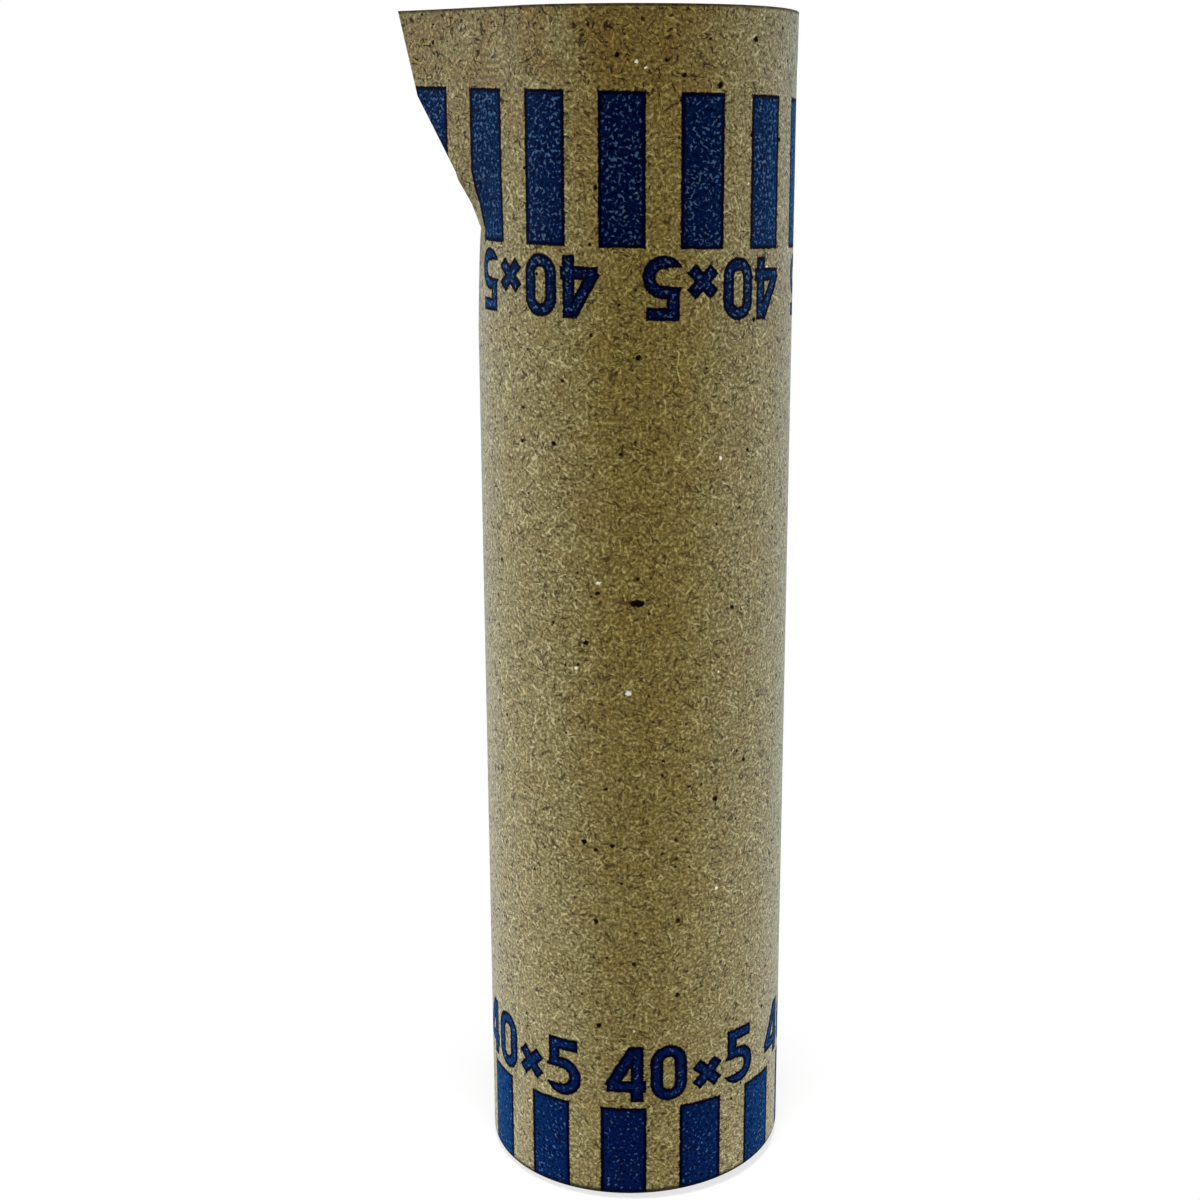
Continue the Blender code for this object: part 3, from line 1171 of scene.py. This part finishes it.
def coin_metal():
    """Struck cupronickel: bright where it is raised and rubbed, duller in the field, lightly scratched."""
    finish = Finish(bpy.data.materials.new("coin_metal"))
    place = finish.node("ShaderNodeTexCoord", {}, {}, "Object")
    scaling = {0: place, "Scale": 1.0 / MM}
    in_mm = finish.node("ShaderNodeVectorMath", {"operation": "SCALE"}, scaling)
    raised = finish.attribute("raised", "Fac")
    tarnish = finish.noise(in_mm, TARNISH_SCALE, TARNISH_DETAIL, TARNISH_ROUGHNESS)
    pits = finish.noise(in_mm, PIT_SCALE)
    scratches = finish.strokes(in_mm, SCRATCH_ANGLES, SCRATCH_SIZE, SCRATCH_EDGE)
    colour = finish.mix(raised, COIN_FIELD, COIN_BRIGHT)
    colour = finish.mix(tarnish.step(*TARNISH_CLOUDS) * TARNISH_SHARE, colour, COIN_TARNISH)
    rough = COIN_ROUGHNESS - raised * RAISED_SMOOTHER
    rough = rough + (tarnish - 0.5) * TARNISH_ROUGHER + scratches * SCRATCH_ROUGHER
    height = pits * PIT_HEIGHT - scratches * SCRATCH_DEPTH
    return finish.surface(
        finish.shader(
            {
                "Base Color": colour,
                "Metallic": 1.0,
                "Roughness": rough,
                "Normal": finish.bump(height, COIN_BUMP_STRENGTH, COIN_BUMP),
            }
        )
    )


# Stage

WHITE = (1.0, 1.0, 1.0)
FLOOR_SIZE = 3.0
FLOOR_COLOUR = (0.62, 0.62, 0.61)
FLOOR_ROUGHNESS = 0.9
FLOOR_SPECULAR = 0.1
FLOOR_NEAR = 0.011
FLOOR_FAR = 0.024
FLOOR_LEAST = 0.75
WORLD_LEVEL = 0.10
LIGHT_SIZE = 0.15
LEFT_PLACE = (-0.42, 0.04, 0.03)
RIGHT_PLACE = (0.42, 0.04, 0.03)
TOP_PLACE = (0.0, -0.12, 0.45)
LEFT_POWER = 0.22
RIGHT_POWER = 0.160
TOP_POWER = 0.19
SIDE_SPREAD = math.radians(45.0)
TOP_SPREAD = math.radians(35.0)
CAMERA_DISTANCE = 129.38 * MM
CAMERA_HEIGHT = 75.03 * MM
CAMERA_PITCH = math.radians(13.529)
CAMERA_LENS = 52.486
SENSOR_WIDTH = 36.0
CLIP_START = 1.0 * MM
FRAME_PIXELS = 1200.0
AXIS_RIGHT_OF_CENTRE = 35.68 / FRAME_PIXELS


def seen_directly(finish):
    """1 for rays from the camera and for what metal reflects, 0 for the light on the object."""
    path = finish.node("ShaderNodeLightPath", {}, {}).socket.node.outputs
    seen = Wire(finish, path["Is Camera Ray"])
    return seen.max(Wire(finish, path["Is Glossy Ray"])).max(Wire(finish, path["Is Transmission Ray"]))


def add_floor():
    """A pale floor that takes the shadow near the roll and runs out into white."""
    floor = add(bpy.ops.mesh.primitive_grid_add, x_subdivisions=2, y_subdivisions=2, size=FLOOR_SIZE)
    floor.name = "floor"
    finish = Finish(bpy.data.materials.new("pale_floor"))
    place = finish.node("ShaderNodeTexCoord", {}, {}, "Object")
    distance = finish.node("ShaderNodeVectorMath", {"operation": "LENGTH"}, {0: place}, "Value")
    clear = distance.step(FLOOR_NEAR, FLOOR_FAR) * (1.0 - FLOOR_LEAST) + FLOOR_LEAST
    share = clear * seen_directly(finish)
    matt = finish.shader(
        {
            "Base Color": FLOOR_COLOUR,
            "Roughness": FLOOR_ROUGHNESS,
            "Specular IOR Level": FLOOR_SPECULAR,
        }
    )
    white = finish.node("ShaderNodeEmission", {}, {"Color": WHITE, "Strength": 1.0})
    floor.data.materials.append(finish.surface(finish.mix_shader(share, matt, white)))


def add_world():
    """White where it is seen, and a plain soft level for the light on the object."""
    finish = Finish(bpy.data.worlds.new("studio"))
    level = seen_directly(finish) * (1.0 - WORLD_LEVEL) + WORLD_LEVEL
    background = finish.node("ShaderNodeBackground", {}, {"Color": WHITE, "Strength": level})
    bpy.context.scene.world = finish.surface(background)


def add_light(name, place, power, spread):
    """A soft square light with a narrowed beam that faces the middle of the roll's base."""
    data = bpy.data.lights.new(name, "AREA")
    data.size = LIGHT_SIZE
    data.energy = power
    data.spread = spread
    lamp = bpy.data.objects.new(name, data)
    lamp.location = place
    lamp.rotation_euler = (-Vector(place)).to_track_quat("-Z", "Y").to_euler()
    bpy.context.collection.objects.link(lamp)


def add_camera():
    data = bpy.data.cameras.new("camera")
    data.lens = CAMERA_LENS
    data.sensor_width = SENSOR_WIDTH
    data.shift_x = -AXIS_RIGHT_OF_CENTRE
    data.clip_start = CLIP_START
    camera = bpy.data.objects.new("camera", data)
    camera.location = (0.0, -CAMERA_DISTANCE, CAMERA_HEIGHT)
    camera.rotation_euler = (math.pi / 2 - CAMERA_PITCH, 0.0, 0.0)
    bpy.context.collection.objects.link(camera)
    bpy.context.scene.camera = camera


add_paper([printed_kraft(), plain_kraft(), cut_kraft()])
add_coins(coin_metal())
add_floor()
add_world()
add_light("left_light", LEFT_PLACE, LEFT_POWER, SIDE_SPREAD)
add_light("right_light", RIGHT_PLACE, RIGHT_POWER, SIDE_SPREAD)
add_light("top_light", TOP_PLACE, TOP_POWER, TOP_SPREAD)
add_camera()
bpy.context.scene.view_settings.view_transform = "Standard"
